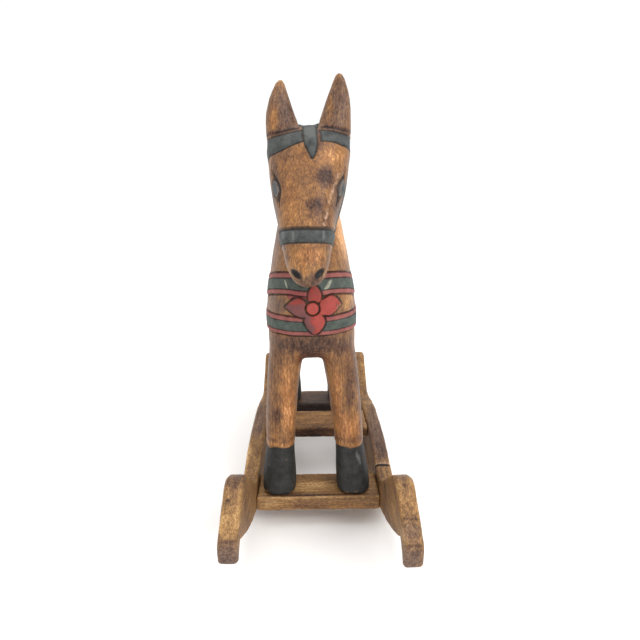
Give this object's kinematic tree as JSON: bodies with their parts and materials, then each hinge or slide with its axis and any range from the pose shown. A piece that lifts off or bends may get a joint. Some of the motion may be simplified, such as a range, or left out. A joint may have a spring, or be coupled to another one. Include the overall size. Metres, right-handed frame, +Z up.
{
  "type": "carved wooden rocking horse",
  "caption": "Carved and painted wooden horse standing on foot boards between a pair of wavy rockers, a decorative figure for a shelf or floor.",
  "frame": {"origin": "on the floor, at the middle of the bounding box of the whole horse with its rockers", "axes": "+Z up from the floor; +Y along the rockers, towards the tail, so the horse looks towards -Y; +X to the horse's left"},
  "size_m": [0.1434, 0.3852, 0.3721],
  "materials": {
    "carved_wood": "carved, stained and waxed hardwood with painted harness, flower and hooves, rubbed on the high places",
    "rocker_wood": "sawn board, brown stain rubbed to golden wood",
    "board_wood": "sawn board, brown stain and wax"
  },
  "bodies": {
    "root": {"horse": "carved_wood", "right_rocker": "rocker_wood", "left_rocker": "rocker_wood", "front_foot_board": "board_wood", "cross_board": "board_wood", "rear_foot_board": "board_wood"}
  },
  "joints": []
}
